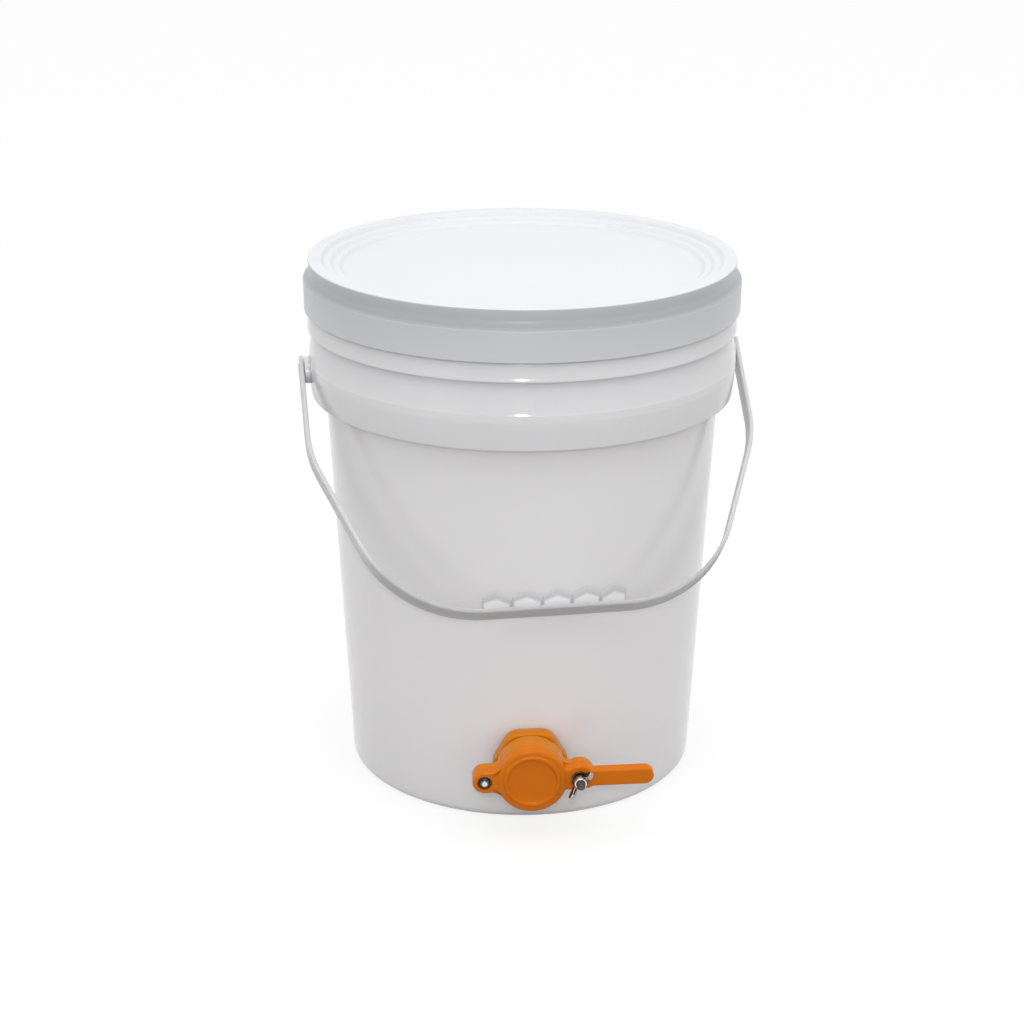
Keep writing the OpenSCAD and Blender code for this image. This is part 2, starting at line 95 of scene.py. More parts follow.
# Studio: an even white room, a soft box overhead and a small flash above the camera
studio = dict(
    roomLight=0.95, topWatts=10.5, topSize=1.6, topPlace=(0.1, -0.35, 1.7), topAim=(0.1, -0.3, 0),
    flashWatts=3.5, flashSize=0.05, flashOff=(0.0, 0.02, 0.13), flashAim=(0, 0, 0.2),
    glintWatts=4.0, glintZ=0.46, insideWatts=0.13, insideSize=0.05, insideHeights=(0.08, 0.27),
    floorSize=16.0, floorShow=0.8, floorBounce="#929292",
)
bpy.context.scene.view_settings.view_transform = "Standard"
world = bpy.data.worlds.new("studioRoom")
bpy.context.scene.world = world
world.use_nodes = True
tree = world.node_tree
tree.nodes.clear()
seen = addNode(tree, "ShaderNodeLightPath").outputs["Is Camera Ray"]
room = addNode(tree, "ShaderNodeBackground", {"Color": toLinear("#FFFFFF"), "Strength": studio["roomLight"]})
white = addNode(tree, "ShaderNodeBackground", {"Color": toLinear("#FFFFFF"), "Strength": 1.0})
pick = addNode(tree, "ShaderNodeMixShader", {0: seen, 1: room.outputs[0], 2: white.outputs[0]})
addNode(tree, "ShaderNodeOutputWorld", {"Surface": pick.outputs[0]})


# square lamp of so many watts, turned towards a point
def areaLamp(name, watts, size, place, aim):
    data = bpy.data.lights.new(name, "AREA")
    data.shape = "SQUARE"
    data.size = size
    data.energy = watts
    lamp = addObject(name, data)
    lamp.location = place
    lamp.rotation_euler = (Vector(aim) - lamp.location).to_track_quat("-Z", "Y").to_euler()
    return lamp


areaLamp("softBox", studio["topWatts"], studio["topSize"], studio["topPlace"], studio["topAim"])
flashPlace = Vector(camera["place"]) / 1000 + Vector(studio["flashOff"])
flash = areaLamp("flash", studio["flashWatts"], studio["flashSize"], flashPlace, studio["flashAim"])
flash.visible_glossy = False
# the flash's bare bulb, so low that the lid's top hardly mirrors it: it only shows in glossy edges
glintPlace = (flashPlace[0], flashPlace[1], studio["glintZ"])
glint = areaLamp("glint", studio["glintWatts"], studio["flashSize"], glintPlace, studio["flashAim"])
glint.visible_diffuse = False
# light inside the closed bucket, for what the thin white wall and lid let in on all sides
for i, height in enumerate(studio["insideHeights"]):
    data = bpy.data.lights.new("inside%d" % i, "POINT")
    data.energy = studio["insideWatts"]
    data.shadow_soft_size = studio["insideSize"]
    addObject(data.name, data).location = (0, 0, height)

# Sweep of paper: white to the eye and to reflections, apart from the bucket's shadow, and grey to other light
paper = bpy.data.materials.new("paperSweep")
paper.use_nodes = True
tree = paper.node_tree
tree.nodes.clear()
path = addNode(tree, "ShaderNodeLightPath")
seen = path.outputs["Is Camera Ray"]
for kind in ("Is Glossy Ray", "Is Transmission Ray"):
    seen = addNode(tree, "ShaderNodeMath", {0: seen, 1: path.outputs[kind]}, operation="MAXIMUM").outputs[0]
glow = addNode(tree, "ShaderNodeEmission", {"Color": toLinear("#FFFFFF"), "Strength": 1.0})
matt = addNode(tree, "ShaderNodeBsdfDiffuse", {"Color": toLinear("#FAFAFA")})
show = addNode(tree, "ShaderNodeMixShader", {0: studio["floorShow"], 1: matt.outputs[0], 2: glow.outputs[0]})
bounce = addNode(tree, "ShaderNodeBsdfDiffuse", {"Color": toLinear(studio["floorBounce"])})
mix = addNode(tree, "ShaderNodeMixShader", {0: seen, 1: bounce.outputs[0], 2: show.outputs[0]})
addNode(tree, "ShaderNodeOutputMaterial", {"Surface": mix.outputs[0]})
half = studio["floorSize"] / 2
floorCorners = [(-half, -half, 0), (half, -half, 0), (half, half, 0), (-half, half, 0)]
floorMesh = bpy.data.meshes.new("paperFloor")
floorMesh.from_pydata(floorCorners, [], [(0, 1, 2, 3)])
floorMesh.materials.append(paper)
floor = addObject("paperFloor", floorMesh)
print("camera, light and floor set")


# quads between neighbouring rows and columns of a grid of points
def gridFaces(rows, cols, closeRows=False, closeCols=False):
    rowSpan, colSpan = np.arange(rows - (not closeRows)), np.arange(cols - (not closeCols))
    r, c = np.meshgrid(rowSpan, colSpan, indexing="ij")
    rn, cn = (r + 1) % rows, (c + 1) % cols
    return np.stack([r * cols + c, rn * cols + c, rn * cols + cn, r * cols + cn], -1).reshape(-1, 4)


# a polyline of (x, y, radius): each corner is swapped for the arc of that radius that touches both its sides
def rounded(corners, steps=6, closed=False):
    data = np.array(corners, float)
    p, radius = data[:, :2], data[:, 2].copy()
    into, out = p - np.roll(p, 1, 0), np.roll(p, -1, 0) - p
    into /= np.linalg.norm(into, axis=1, keepdims=True)
    out /= np.linalg.norm(out, axis=1, keepdims=True)
    if not closed:
        radius[[0, -1]] = 0
    turn = np.arctan2(into[:, 0] * out[:, 1] - into[:, 1] * out[:, 0], (into * out).sum(1))
    left = np.stack([-into[:, 1], into[:, 0]], 1) * np.sign(turn)[:, None]
    centre = p - into * (radius * np.tan(np.abs(turn) / 2))[:, None] + left * radius[:, None]
    spoke = -left * radius[:, None]
    spin = np.stack([-spoke[:, 1], spoke[:, 0]], 1)
    a = (turn[:, None] * np.linspace(0, 1, steps + 1))[..., None]
    line = (centre[:, None] + spoke[:, None] * np.cos(a) + spin[:, None] * np.sin(a)).reshape(-1, 2)
    apart = np.linalg.norm(line - np.roll(line, 1, 0), axis=1) > 1e-5
    apart[0] |= not closed
    return line[apart]


# points (cx + r cos a, cy + r sin a) from one angle to another, in degrees
def arc(cx, cy, r, start, end, count):
    a = np.radians(np.linspace(start, end, count))
    return np.stack([cx + r * np.cos(a), cy + r * np.sin(a)], 1)


# a closed outline walked at even steps, each point then averaged twice with its neighbours within reach
def softened(outline, step, reach):
    loop = np.vstack([outline, outline[:1]])
    run = np.concatenate([[0], np.cumsum(np.linalg.norm(np.diff(loop, axis=0), axis=1))])
    count = int(run[-1] / step)
    at = np.arange(count) * run[-1] / count
    even = np.stack([np.interp(at, run, loop[:, 0]), np.interp(at, run, loop[:, 1])], 1)
    k = max(1, int(round(reach / step)))
    once = np.mean([np.roll(even, i, 0) for i in range(-k, k + 1)], axis=0)
    return np.mean([np.roll(once, i, 0) for i in range(-k, k + 1)], axis=0)


# profile (r, z) carried round the Z axis, all round in so many turns or over given angles a, in degrees:
# (r cos a, r sin a, z). A third column is the share of a thread: there r drops by depth times a saw wave
# of z / pitch - a / 360, cut flat at the thread's root
def lathe(profile, turns=0, closed=False, thread=None, angles=None):
    whole = angles is None
    a = np.radians(np.arange(turns) * 360 / turns if whole else angles)[:, None]
    size = (len(a), len(profile))
    r, z = np.broadcast_to(profile[:, 0], size), np.broadcast_to(profile[:, 1], size)
    if thread:
        depth, pitch = thread
        saw = np.abs((z / pitch - a / (2 * math.pi)) % 1 - 0.5) * 2
        r = r - profile[:, 2] * depth * np.clip(saw * 1.3, 0, 1)
    points = np.stack([r * np.cos(a), r * np.sin(a), z], -1).reshape(-1, 3)
    return points, [gridFaces(len(a), len(profile), whole, closed)]


# a lathe's profile with its third column: no thread, or a thread of one radius over some heights
def plainRows(line):
    return np.column_stack([line, np.zeros(len(line))])


def threadRows(radius, heights):
    return np.column_stack([np.full(len(heights), radius), heights, np.ones(len(heights))])


# outline carried from z0 up to z1 and drawn in along its own normal by a quarter circle at each edge.
# With a hole (x, y, r) the caps run in to that circle, and its wall joins them
def plate(outline, z0, z1, top, foot, hole=None):
    lip = 0.2  # flat strip between an edge and its cap
    ahead = np.roll(outline, -1, 0) - np.roll(outline, 1, 0)
    normal = np.stack([ahead[:, 1], -ahead[:, 0]], 1) / np.linalg.norm(ahead, axis=1, keepdims=True)
    t = np.linspace(0, math.pi / 2, 6)
    inset = np.concatenate([[foot + lip], foot * (1 - np.sin(t)), top * (1 - np.cos(t)), [top + lip]])
    z = np.concatenate([[z0], z0 + foot * (1 - np.cos(t)), z1 - top + top * np.sin(t), [z1]])
    flat = outline[:, None] - normal[:, None] * inset[None, :, None]
    if hole:
        ray = outline - np.array(hole[:2])
        circle = (np.array(hole[:2]) + ray / np.linalg.norm(ray, axis=1, keepdims=True) * hole[2])[:, None]
        flat = np.concatenate([circle, flat, circle], 1)
        z = np.concatenate([[z0], z, [z1]])
    count, cols = flat.shape[:2]
    points = np.concatenate([flat, np.broadcast_to(z[None, :, None], (count, cols, 1))], 2).reshape(-1, 3)
    faces = [gridFaces(count, cols, True, bool(hole))]
    if not hole:
        ringStart = np.arange(count) * cols
        faces += [ringStart + cols - 1, ringStart[::-1]]
    return points, faces


# ring of rounded rectangular section between two radii and two heights
def ring(inner, outer, z0, z1, edge, turns=48):
    corners = [(inner, z0, edge), (outer, z0, edge), (outer, z1, edge), (inner, z1, edge)]
    return lathe(rounded(corners, 4, closed=True), turns, closed=True)


# the part turned by (degrees, axis) steps in order and then shifted
def put(part, turns, shift=(0, 0, 0)):
    m = Matrix.Identity(3)
    for degrees, axis in turns:
        m = Matrix.Rotation(math.radians(degrees), 3, axis) @ m
    return part[0] @ np.array(m).T + np.array(shift), part[1]


# one mesh object from several parts: doubles merged, smooth, with edges over 38 degrees kept crisp.
# A tint is an attribute's name and its value at each point, for the material to read
def makePiece(name, parts, material, body, nodes=(), tint=None):
    base = np.cumsum([0] + [len(part[0]) for part in parts])
    faces = []
    for part, first in zip(parts, base):
        for face in part[1]:
            faces += (face + first).tolist() if face.ndim == 2 else [(face + first).tolist()]
    mesh = bpy.data.meshes.new(name)
    mesh.from_pydata((np.concatenate([part[0] for part in parts]) / 1000).tolist(), [], faces)
    if tint:
        mesh.attributes.new(tint[0], "FLOAT", "POINT").data.foreach_set("value", tint[1])
    bm = bmesh.new()
    bm.from_mesh(mesh)
    bmesh.ops.remove_doubles(bm, verts=bm.verts, dist=2e-6)
    bmesh.ops.dissolve_degenerate(bm, edges=bm.edges, dist=1e-6)
    bm.to_mesh(mesh)
    bm.free()
    mesh.shade_smooth()
    mesh.set_sharp_from_angle(angle=math.radians(38))
    mesh.materials.append(material)
    piece = addObject(name, mesh)
    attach(piece, body)
    if nodes:
        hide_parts(*nodes)


# mix of two colours by a share
def mixColour(tree, share, first, second):
    return addNode(tree, "ShaderNodeMix", {0: share, 6: first, 7: second}, data_type="RGBA").outputs[2]


# Moulded plastic: two close colours in slow clouds from the melt's flow, a fine spark-eroded grain from the
# mould as bump, and roughness that wanders with the clouds. Soft plastic lets a little light through. Where
# a piece has the named attribute, its colour goes over to the third one
def mouldedPlastic(
        name, dark, light, cloud, grain, rough, grainBump, specular, through=0.0, stretch=1.0, third=None):
    material = bpy.data.materials.new(name)
    material.use_nodes = True
    tree = material.node_tree
    shader = tree.nodes["Principled BSDF"]
    place = addNode(tree, "ShaderNodeTexCoord").outputs["Object"]
    drawn = addNode(tree, "ShaderNodeMapping", {"Vector": place, "Scale": (1, 1, stretch)})
    cloudIn = {"Vector": drawn.outputs[0], "Scale": perMm(cloud), "Detail": 4}
    clouds = addNode(tree, "ShaderNodeTexNoise", cloudIn).outputs[0]
    colour = mixColour(tree, clouds, toLinear(dark), toLinear(light))
    if third:
        where = addNode(tree, "ShaderNodeAttribute", attribute_name=third[0])
        colour = mixColour(tree, where.outputs["Fac"], colour, toLinear(third[1]))
    pits = addNode(tree, "ShaderNodeTexNoise", {"Vector": place, "Scale": perMm(grain), "Detail": 3})
    gloss = addNode(tree, "ShaderNodeMapRange", {0: clouds, 1: 0.3, 2: 0.7, 3: rough[0], 4: rough[1]})
    bumpIn = {"Height": pits.outputs[0], "Strength": grainBump, "Distance": 0.0002}
    bump = addNode(tree, "ShaderNodeBump", bumpIn)
    tree.links.new(colour, shader.inputs["Base Color"])
    tree.links.new(gloss.outputs[0], shader.inputs["Roughness"])
    tree.links.new(bump.outputs[0], shader.inputs["Normal"])
    shader.inputs["IOR"].default_value = 1.49
    shader.inputs["Specular IOR Level"].default_value = specular
    shader.inputs["Subsurface Weight"].default_value = through
    shader.inputs["Subsurface Radius"].default_value = (0.012, 0.011, 0.010)
    shader.inputs["Subsurface Scale"].default_value = 1.0
    return material


pailPlastic = mouldedPlastic(
    "whitePolypropylene", "#E0DEDF", "#E7E5E6", cloud=55, grain=1.6, rough=(0.11, 0.18), grainBump=0.05,
    specular=0.4, through=0.55, stretch=0.4)
combPlastic = mouldedPlastic(
    "raisedWhitePolypropylene", "#CFCED0", "#D5D4D6", cloud=30, grain=1.6, rough=(0.11, 0.18), grainBump=0.05,
    specular=0.4, third=("inside", "#FDFCFC"))
# the third colour is painted shade, laid on the lid's neck and cove
lidPlastic = mouldedPlastic(
    "coolWhitePolypropylene", "#CED0D3", "#D5D7DA", cloud=70, grain=1.4, rough=(0.29, 0.36), grainBump=0.05,
    specular=0.4, through=0.10, third=("neck", "#A2A6A9"))
# the third colour is painted shade, laid round the grip
strapPlastic = mouldedPlastic(
    "naturalPolypropylene", "#C9CACB", "#D0D1D2", cloud=20, grain=1.2, rough=(0.36, 0.48), grainBump=0.15,
    specular=0.4, through=0.7, third=("paintedGripShade", "#AEB0B2"))
gatePlastic = mouldedPlastic(
    "orangePolypropylene", "#CD7600", "#D57F04", cloud=16, grain=0.9, rough=(0.14, 0.22), grainBump=0.04,
    specular=0.15)
bladePlastic = mouldedPlastic(
    "deepOrangePolypropylene", "#D06C00", "#D87402", cloud=16, grain=0.9, rough=(0.14, 0.22), grainBump=0.04,
    specular=0.15)
rubber = mouldedPlastic(
    "paleSealRubber", "#8B8C8A", "#989997", cloud=12, grain=0.8, rough=(0.6, 0.75), grainBump=0.35,
    specular=0.4)

# Zinc plated steel, tumbled and then dulled by handling: dark, with brighter patches and fine scratches that
# break up the reflections. Painted highlights make it pale where a piece's attribute asks for a glint
steel = bpy.data.materials.new("dullPlatedSteel")
steel.use_nodes = True
tree = steel.node_tree
shader = tree.nodes["Principled BSDF"]
place = addNode(tree, "ShaderNodeTexCoord").outputs["Object"]
tarnish = addNode(tree, "ShaderNodeTexNoise", {"Vector": place, "Scale": perMm(4), "Detail": 5})
hairs = addNode(tree, "ShaderNodeMapping", {"Vector": place, "Scale": (1, 6, 1)})
scratch = addNode(tree, "ShaderNodeTexNoise", {"Vector": hairs.outputs[0], "Scale": perMm(1.5), "Detail": 6})
tone = mixColour(tree, tarnish.outputs[0], toLinear("#242220"), toLinear("#6F6B66"))
# painted highlight: a pale colour where the piece's glint attribute is set
glintShare = addNode(tree, "ShaderNodeAttribute", attribute_name="paintedGlint")
tone = mixColour(tree, glintShare.outputs["Fac"], tone, toLinear("#DAD7D2"))
gloss = addNode(tree, "ShaderNodeMapRange", {0: scratch.outputs[0], 1: 0.3, 2: 0.7, 3: 0.10, 4: 0.24})
bump = addNode(tree, "ShaderNodeBump", {"Height": scratch.outputs[0], "Strength": 0.04, "Distance": 0.0001})
tree.links.new(tone, shader.inputs["Base Color"])
tree.links.new(gloss.outputs[0], shader.inputs["Roughness"])
tree.links.new(bump.outputs[0], shader.inputs["Normal"])
shader.inputs["Metallic"].default_value = 1.0
print("materials made")

# Pail. The collar's face is given as (radius, height, corner round), from the top of its lower band up over
# the rolled edge, the flare, the groove and the upper ring
pail = dict(
    footR=126.4, lean=2.93, wallT=2.2, floorZ=4.5, footRound=6, standRing=9.0, padR=24, hollow=1.5,
    rimZ=375, rimR=146.6, beadR=148.6, beadLow=364, beadHigh=366, ledgeZ=344, ledgeR=151.9,
    collarIn=147.6, collarZ=283, collarFootR=150.9, cavityZ=341.8, climbTop=280, fallTop=360,
    collarFace=[
        (152.75, 302.6, 3.2), (152.78, 308.0, 0.8), (152.50, 309.3, 1.2), (150.25, 326.5, 2.0),
        (149.85, 330.1, 0.9), (152.85, 330.7, 0.8), (152.85, 332.2, 0.8), (152.57, 333.5, 2.0),
    ],
    ribs=24, ribT=1.6, ribZ=298.25, ribSink=0.8,
    earTurn=7, hingeZ=302, earR=9.5, earBack=146.5, earFace=156.5, earBore=4.6,
    gateZ=48, holeR=20.5, windowLow=20, windowHigh=76, windowHalf=12, windowRows=15, windowRings=7, turns=240,
)
slope = math.tan(math.radians(pail["lean"]))


# the wall is a cone: its radius grows evenly with height, and the inner face lies one wall thickness inside
def wallR(z):
    return pail["footR"] + slope * z


def wallIn(z):
    return wallR(z) - pail["wallT"] / math.cos(math.radians(pail["lean"]))


low, high = pail["windowLow"], pail["windowHigh"]
rows = np.linspace(low, high, pail["windowRows"])


# stretch of a cone round the gate's hole: rings blend from the hole's circle to a window in the lathe's grid
def holedWindow(radiusAt, flip):
    wide, between = pail["windowHalf"], len(rows) - 2
    a = np.arange(-wide, wide + 0.1, 360 / pail["turns"])
    edgeA = np.concatenate([a, np.full(between, a[-1]), a[::-1], np.full(between, a[0])])
    edgeZ = np.concatenate([np.full(len(a), low), rows[1:-1], np.full(len(a), high), rows[-2:0:-1]])
    way = np.arctan2(edgeZ - pail["gateZ"], np.radians(edgeA) * radiusAt(pail["gateZ"]))
    holeZ = pail["gateZ"] + pail["holeR"] * np.sin(way)
    holeA = np.degrees(np.arcsin(pail["holeR"] * np.cos(way) / radiusAt(holeZ)))
    f = np.linspace(0, 1, pail["windowRings"])[:, None]
    ringA = np.radians(-90 + holeA + f * (edgeA - holeA))
    ringZ = holeZ + f * (edgeZ - holeZ)
    r = radiusAt(ringZ)
    points = np.stack([r * np.cos(ringA), r * np.sin(ringA), ringZ], -1)
    faces = gridFaces(len(f), len(edgeA), False, True)
    return points, faces[:, ::-1] if flip else faces


hollowR = wallR(pail["footRound"]) - pail["standRing"]
outerFoot = rounded([
    (0, 0, 0), (pail["padR"], 0, 0.6), (pail["padR"] + pail["hollow"], pail["hollow"], 0.6),
    (hollowR - pail["hollow"], pail["hollow"], 0.8), (hollowR, 0, 0.8),
    (pail["footR"], 0, pail["footRound"]), (wallR(low), low, 0),
], steps=8)
# up the wall, round the collar from its cavity to its face, over the rim, and down the inside
climb = [(wallR(z), z, 0) for z in np.linspace(high, pail["climbTop"], 9)]
fall = [(wallIn(z), z, 0) for z in np.linspace(pail["fallTop"], high, 11)]
cavity = [
    (wallR(pail["cavityZ"]), pail["cavityZ"], 1.0), (pail["collarIn"], pail["cavityZ"], 1.0),
    (pail["collarIn"], pail["collarZ"], 0.7), (pail["collarFootR"], pail["collarZ"], 1.0),
]
rim = [
    (pail["ledgeR"], pail["ledgeZ"], 1.2), (pail["rimR"], pail["ledgeZ"], 0.8),
    (pail["rimR"], pail["beadLow"], 0.6), (pail["beadR"], pail["beadHigh"], 0.9),
    (pail["beadR"], pail["rimZ"], 1.2), (wallIn(pail["rimZ"]), pail["rimZ"], 1.2),
]
shellTop = rounded(climb + cavity + pail["collarFace"] + rim + fall)
innerFloor = rounded([
    (wallIn(low), low, 0), (wallIn(pail["floorZ"]), pail["floorZ"], pail["footRound"]),
    (0, pail["floorZ"], 0),
], steps=8)
rest = np.arange(-90 + pail["windowHalf"], 270 - pail["windowHalf"] + 0.1, 360 / pail["turns"])
outerWindow, outerFaces = holedWindow(wallR, False)
innerWindow, innerFaces = holedWindow(wallIn, True)
holeWall = np.concatenate([innerWindow[0], outerWindow[0]])
pailParts = [
    lathe(outerFoot, pail["turns"]),
    lathe(np.stack([wallR(rows), rows], 1), angles=rest),
    (outerWindow.reshape(-1, 3), [outerFaces]),
    lathe(shellTop, pail["turns"]),
    lathe(np.stack([wallIn(rows), rows], 1)[::-1], angles=rest),
    (innerWindow.reshape(-1, 3), [innerFaces]),
    lathe(innerFloor, pail["turns"]),
    (holeWall, [gridFaces(2, outerWindow.shape[1], False, True)]),
]
# ribs in the collar's cavity, sunk a little into the plastic round them
sink = pail["ribSink"]
ribOut, ribTop = pail["collarIn"] + sink, pail["cavityZ"] + sink
ribLine = rounded([
    (wallR(pail["ribZ"]) - sink, pail["ribZ"], 0), (ribOut, pail["ribZ"], 0),
    (ribOut, ribTop, 0), (wallR(pail["cavityZ"]) - sink, ribTop, 0),
], closed=True)
rib = plate(ribLine, -pail["ribT"] / 2, pail["ribT"] / 2, 0.3, 0.3)
ribStep = 360 / pail["ribs"]
for i in range(pail["ribs"]):
    pailParts.append(put(rib, [(90, "X"), (pail["earTurn"] + (i + 0.5) * ribStep, "Z")]))
ear = lathe(rounded([
    (pail["earBore"], pail["earBack"], 0.3), (pail["earR"], pail["earBack"], 0.5),
    (pail["earR"], pail["earFace"], 1.0), (pail["earBore"], pail["earFace"], 0.3),
], closed=True), 48, closed=True)
for side in (90, -90):
    pailParts.append(put(ear, [(side, "Y"), (pail["earTurn"], "Z")], (0, 0, pail["hingeZ"])))
makePiece("pailShell", pailParts, pailPlastic, "pail", ["pail_body"])
print("pail made")

# Lid: one turned section, from the middle of the underside out to the skirt and back over the top
lid = dict(
    panelZ=372.2, thick=2.4, rise=2.4, midR=60, panelR=129.3, treadR=133.5,
    plugIn=140.1, plugR=142.5, plugZ=366, channelZ=377.6, topZ=380,
    neckIn=149.0, neckR=151.6, waistR=150.4, stepZ=366, coveOut=2.0, coveTop=5.0,
    skirtR=155.0, skirtIn=152.8, skirtZ=344.4, draft=0.2, sealIn=143.8, sealOut=148.6, sealZ=375,
    neckShadeR=150, neckShadeFrom=365.2, neckShadeHeights=(369, 372, 379, 379.6), neckShadeShares=(1, 0.6, 0.5, 0),
)
panelZ, lowZ, highZ = lid["panelZ"], lid["panelZ"] + lid["rise"], lid["panelZ"] + 2 * lid["rise"]
panelIn, treadOut, thick = lid["panelR"] - lid["rise"], lid["treadR"] + lid["rise"], lid["thick"]
lidLine = rounded([
    (0, panelZ - thick, 0), (panelIn, panelZ - thick, 1.2), (lid["panelR"], lowZ - thick, 1.2),
    (lid["treadR"], lowZ - thick, 1.0), (treadOut, highZ - thick, 1.0), (lid["plugIn"], highZ - thick, 0.6),
    (lid["plugIn"], lid["plugZ"], 0.6), (lid["plugR"], lid["plugZ"], 0.9),
    (lid["plugR"], lid["channelZ"], 0.5), (lid["neckIn"], lid["channelZ"], 0.5),
    (lid["neckIn"], lid["stepZ"], 0.8), (lid["skirtIn"], lid["stepZ"] - thick, 0.8),
    (lid["skirtIn"], lid["skirtZ"], 0.5),
    (lid["skirtR"] - lid["draft"], lid["skirtZ"], 0.7), (lid["skirtR"], lid["stepZ"], 0.7),
    (lid["waistR"] + lid["coveOut"], lid["stepZ"] + 1.0, lid["coveOut"]),
    (lid["waistR"], lid["stepZ"] + lid["coveTop"], lid["coveTop"]),
    (lid["neckR"], lid["topZ"], 0.9), (lid["plugR"], lid["topZ"], 1.2), (lid["plugIn"], highZ, 1.2),
    (treadOut, highZ, 1.2), (lid["treadR"], lowZ, 1.2), (lid["panelR"], lowZ, 1.2), (panelIn, panelZ, 1.6),
    (lid["midR"], panelZ, 0), (0, panelZ, 0),
])
# painted shade: the neck is greyer, and most of all in the cove at its foot, where the rim above shades it
lidPart = lathe(lidLine, 240)
lidR, lidZ = np.hypot(lidPart[0][:, 0], lidPart[0][:, 1]), lidPart[0][:, 2]
neckShare = np.interp(lidZ, lid["neckShadeHeights"], lid["neckShadeShares"])
neckTint = np.clip(lidZ - lid["neckShadeFrom"], 0, 1) * neckShare * (lidR > lid["neckShadeR"])
makePiece("lidShell", [lidPart], lidPlastic, "lid", ["lid"], tint=("neck", neckTint))
sealRing = ring(lid["sealIn"], lid["sealOut"], lid["sealZ"], lid["channelZ"], 0.7, 180)
makePiece("lidSealRing", [sealRing], rubber, "lid", ["lid_seal"])
print("lid made")

# Bail: a flat strap with a lip along each edge, swept down one leg, across the grip and up the other.
# Along the strap's plane U runs from the middle out to a leg, and V from the hinge down to the grip
bail = dict(
    legIn=157.0, legStop=30, kneeV=69.8, kneeR=80, kneeAngle=22, gripV=194.7, gripLen=98, strapEnd=8,
    width=14, thick=3, lip=2.6, lipSlope=0.3, channel=0.5, backRound=0.7, faceRound=1.3, lipRound=0.35,
    drop=44, studR=4.5, studHeadR=6.5, studTip=142.6, studNeck=146.1, studSink=1.0, gripShadeV=(140, 165),
)
kneeTan = math.tan(math.radians(bail["kneeAngle"]))
cornerU = bail["legIn"] - (bail["gripV"] - bail["kneeV"]) * kneeTan
cornerR = (cornerU - bail["gripLen"] / 2) / math.tan(math.radians(45 - bail["kneeAngle"] / 2))
halfPath = [
    (bail["legIn"], -bail["strapEnd"], 0), (bail["legIn"], bail["legStop"], 0),
    (bail["legIn"], bail["kneeV"], bail["kneeR"]), (cornerU, bail["gripV"], cornerR), (0, bail["gripV"], 0),
]
strapPath = rounded(halfPath + [(-u, v, r) for u, v, r in halfPath[-2::-1]], steps=16)
halfW, faceT, dipT = bail["width"] / 2, bail["thick"], bail["thick"] - bail["channel"]
lipIn = halfW - bail["lip"]
dipIn = lipIn - bail["lipSlope"]
section = rounded([
    (-halfW, 0, bail["backRound"]), (halfW, 0, bail["backRound"]), (halfW, faceT, bail["faceRound"]),
    (lipIn, faceT, bail["lipRound"]), (dipIn, dipT, bail["lipRound"]), (-dipIn, dipT, bail["lipRound"]),
    (-lipIn, faceT, bail["lipRound"]), (-halfW, faceT, bail["faceRound"]),
], steps=3, closed=True)
# each point of the section stands off the path along its outward normal, and across it by the strap's width
ahead = np.gradient(strapPath, axis=0)
outward = np.stack([ahead[:, 1], -ahead[:, 0]], 1) / np.linalg.norm(ahead, axis=1, keepdims=True)
flat = strapPath[:, None] + outward[:, None] * section[None, :, 1:]
across = np.broadcast_to(-section[None, :, :1], (len(strapPath), len(section), 1))
count, cols = len(strapPath), len(section)
firstEnd, lastEnd = np.arange(cols), np.arange(cols)[::-1] + (count - 1) * cols
strapPoints = np.concatenate([flat, across], 2).reshape(-1, 3)
strap = (strapPoints, [gridFaces(count, cols, False, True), firstEnd, lastEnd])
studRoot = bail["legIn"] + bail["studSink"]
stud = lathe(rounded([
    (0, bail["studTip"], 0), (bail["studHeadR"], bail["studTip"], 0.8),
    (bail["studHeadR"], bail["studNeck"], 0.4), (bail["studR"], bail["studNeck"], 0.3),
    (bail["studR"], studRoot, 0), (0, studRoot, 0),
]), 40)
hang = [(180 + bail["drop"], "X"), (pail["earTurn"], "Z")]
atHinge = (0, 0, pail["hingeZ"])
bailParts = [put(strap, hang, atHinge)] + [put(stud, [(side, "Y")] + hang, atHinge) for side in (90, -90)]
# painted shade: the strap is greyer round the grip, where its face looks down, away from the light
gripShade = np.repeat(np.interp(strapPath[:, 1], bail["gripShadeV"], (0, 1)), cols)
bailShade = ("paintedGripShade", np.concatenate([gripShade, np.zeros(2 * len(stud[0]))]))
makePiece("strapBail", bailParts, strapPlastic, "bail", ["bail_strap"], tint=bailShade)
print("bail made")

# Gate: everything is worked out on the gate's own axes, X to the right, Y up and Z out from the wall
gate = dict(
    turn=1.7, boreR=16, spigotR=20, spigotTip=-17.04, threadPitch=3.0, threadDepth=1.1, threadEnd=-1.2,
    flangeAf=49, flangeRound=13, flangeHole=18, flangeZ=0.4, neckZ=9, seatZ=10.5, seatR=24.4, faceZ=24.5,
    grooveIn=19.0, grooveOut=21.4, grooveDeep=2, sealGap=0.1, earZ=17.5, pivotX=-33, clampX=33,
    lugR=8.5, clampR=10.5, flare=((18.5, -13.0), (22.3, -10.7)), flareX=26.5, pivotHole=2.6, clampHole=3.1,
    lockFace=-5.54, lockT=9, lockAf=48, lockRound=9, lockHole=20.1,
)
gateTurns = [(gate["turn"], "Z"), (90 + pail["lean"], "X")]
gateAt = np.array((0, -wallR(pail["gateZ"]), pail["gateZ"]))
pivotX, clampX, seatR = gate["pivotX"], gate["clampX"], gate["seatR"]
lugR, clampR = gate["lugR"], gate["clampR"]


# the part shifted on the gate's axes and then set on the wall
def onGate(part, x=0.0, z=0.0):
    return put((part[0] + np.array((x, 0, z)), part[1]), gateTurns, gateAt)


# six-sided outline with rounded corners, flat side up, given its width across the flats
def sixSided(across, radius):
    a = np.radians(np.arange(6) * 60)
    r = across / 2 / math.cos(math.radians(30))
    return rounded(np.stack([r * np.cos(a), r * np.sin(a), np.full(6, radius)], 1), 10, closed=True)


